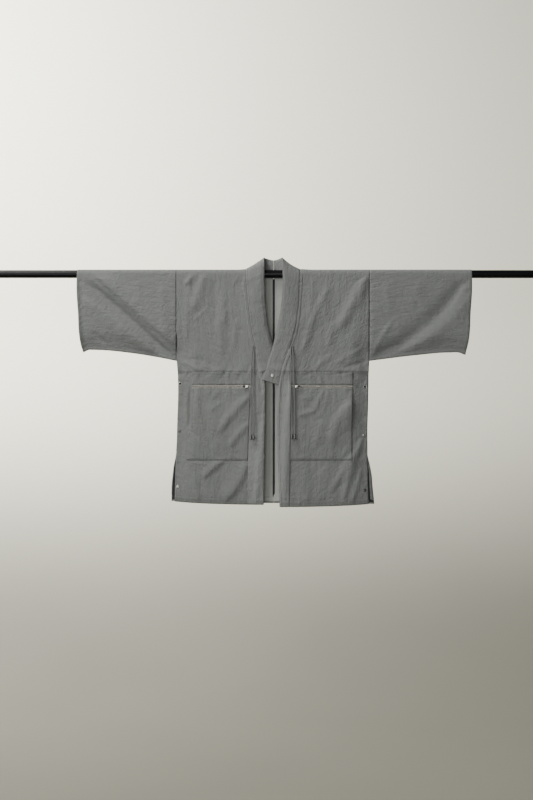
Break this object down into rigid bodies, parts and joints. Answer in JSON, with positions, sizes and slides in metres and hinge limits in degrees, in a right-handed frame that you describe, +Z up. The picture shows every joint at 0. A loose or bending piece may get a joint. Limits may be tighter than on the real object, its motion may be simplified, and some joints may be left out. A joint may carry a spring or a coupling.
{
  "type": "happi coat on a hanging rod",
  "caption": "Short-sleeved wrap coat with a collar band, zipped patch pockets, side vents and cords, hung open on a round rod through its sleeves.",
  "frame": {"origin": "on the rod's axis, midway between the two cuffs", "axes": "+X along the rod to the right of someone who faces the coat's front, -Y the way the front faces, +Z up"},
  "size_m": [1.74, 0.06, 0.7716],
  "materials": {
    "cloth": "matte light grey cloth, finely creased",
    "binding": "matte near-black tape",
    "zip_tape": "pale beige woven tape",
    "metal": "satin nickel",
    "black_metal": "black enamel, semi-gloss",
    "cord": "matte braided grey cord",
    "rod": "smooth black paint, semi-gloss"
  },
  "bodies": {
    "coat": {"rod": "rod", "back_left": "cloth", "back_right": "cloth", "back_hem_tape_left": "binding", "back_hem_tape_right": "binding", "centre_back_tape": "binding", "front_left": "cloth", "front_right": "cloth", "front_band_left": "cloth", "front_band_right": "cloth", "collar_left": "cloth", "collar_right": "cloth", "sleeve_left": "cloth", "sleeve_right": "cloth", "waist_strip_left": "cloth", "waist_strip_right": "cloth", "pocket_bag_left": "cloth", "pocket_bag_right": "cloth", "zip_tape_left": "zip_tape", "zip_tape_right": "zip_tape", "zip_slider_left": "metal", "zip_slider_right": "metal", "collar_snap": "metal", "eyelet_left": "metal", "eyelet_right": "metal", "side_snap_left_1": "metal", "side_snap_left_2": "metal", "side_snap_right_1": "metal", "side_snap_right_2": "metal", "vent_socket_left": "black_metal", "vent_socket_right": "black_metal", "cord_left_a": "cord", "cord_left_b": "cord", "cord_right_a": "cord", "cord_right_b": "cord", "cord_tip_left_a": "metal", "cord_tip_left_b": "metal", "cord_tip_right_a": "metal", "cord_tip_right_b": "metal"},
    "pull_left": {"zip_pull_left": "black_metal"},
    "pull_right": {"zip_pull_right": "black_metal"}
  },
  "joints": [
    {"name": "pull_left_hinge", "type": "hinge", "parent": "coat", "child": "pull_left", "pos_m": [-0.08655, -0.02268, -0.34797], "axis": [0, 0, 1], "range_deg": [0, 160]},
    {"name": "pull_right_hinge", "type": "hinge", "parent": "coat", "child": "pull_right", "pos_m": [0.06709, -0.02606, -0.34792], "axis": [0, 0, -1], "range_deg": [0, 110]}
  ]
}
